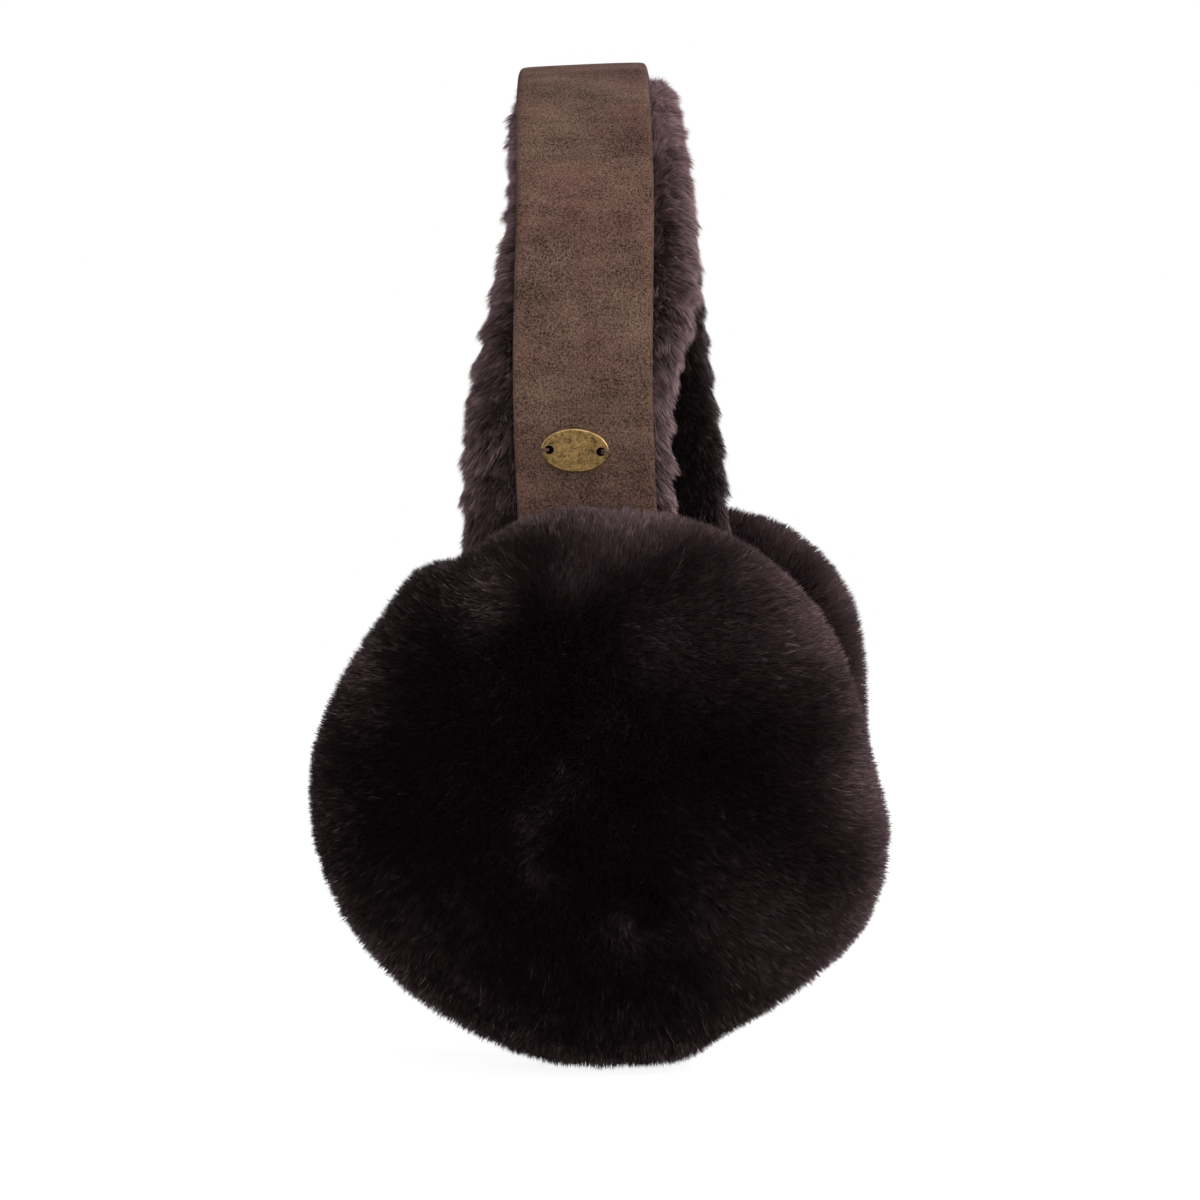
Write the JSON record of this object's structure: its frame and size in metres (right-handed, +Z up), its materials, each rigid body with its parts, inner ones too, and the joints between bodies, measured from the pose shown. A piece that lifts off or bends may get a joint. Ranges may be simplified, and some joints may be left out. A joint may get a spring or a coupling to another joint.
{
  "type": "fur earmuffs",
  "caption": "Winter earmuffs: an arched headband faced with suede and lined with sheared sheepskin joins round plump fur pads; a small oval brass tag sits on one arm.",
  "frame": {"origin": "middle of the ground covered by the standing earmuffs, on the plane that the pads stand on", "axes": "+Z up, -Y the way the wearer faces, +X the wearer's left"},
  "size_m": [0.1998, 0.124, 0.214],
  "materials": {
    "suede": "brown brushed suede, matt, with a short nap",
    "band_pile": "dark brown sheared sheepskin, soft sheen on the tips",
    "dark_pile": "near-black brown sheared sheepskin, dense, velvety",
    "aged_brass": "antique brass with a bright worn rim"
  },
  "bodies": {
    "root": {"suede_strap": "suede", "fur_lining": "band_pile", "ear_pad_left": "dark_pile", "ear_pad_right": "dark_pile", "brass_tag": "aged_brass"}
  },
  "joints": []
}
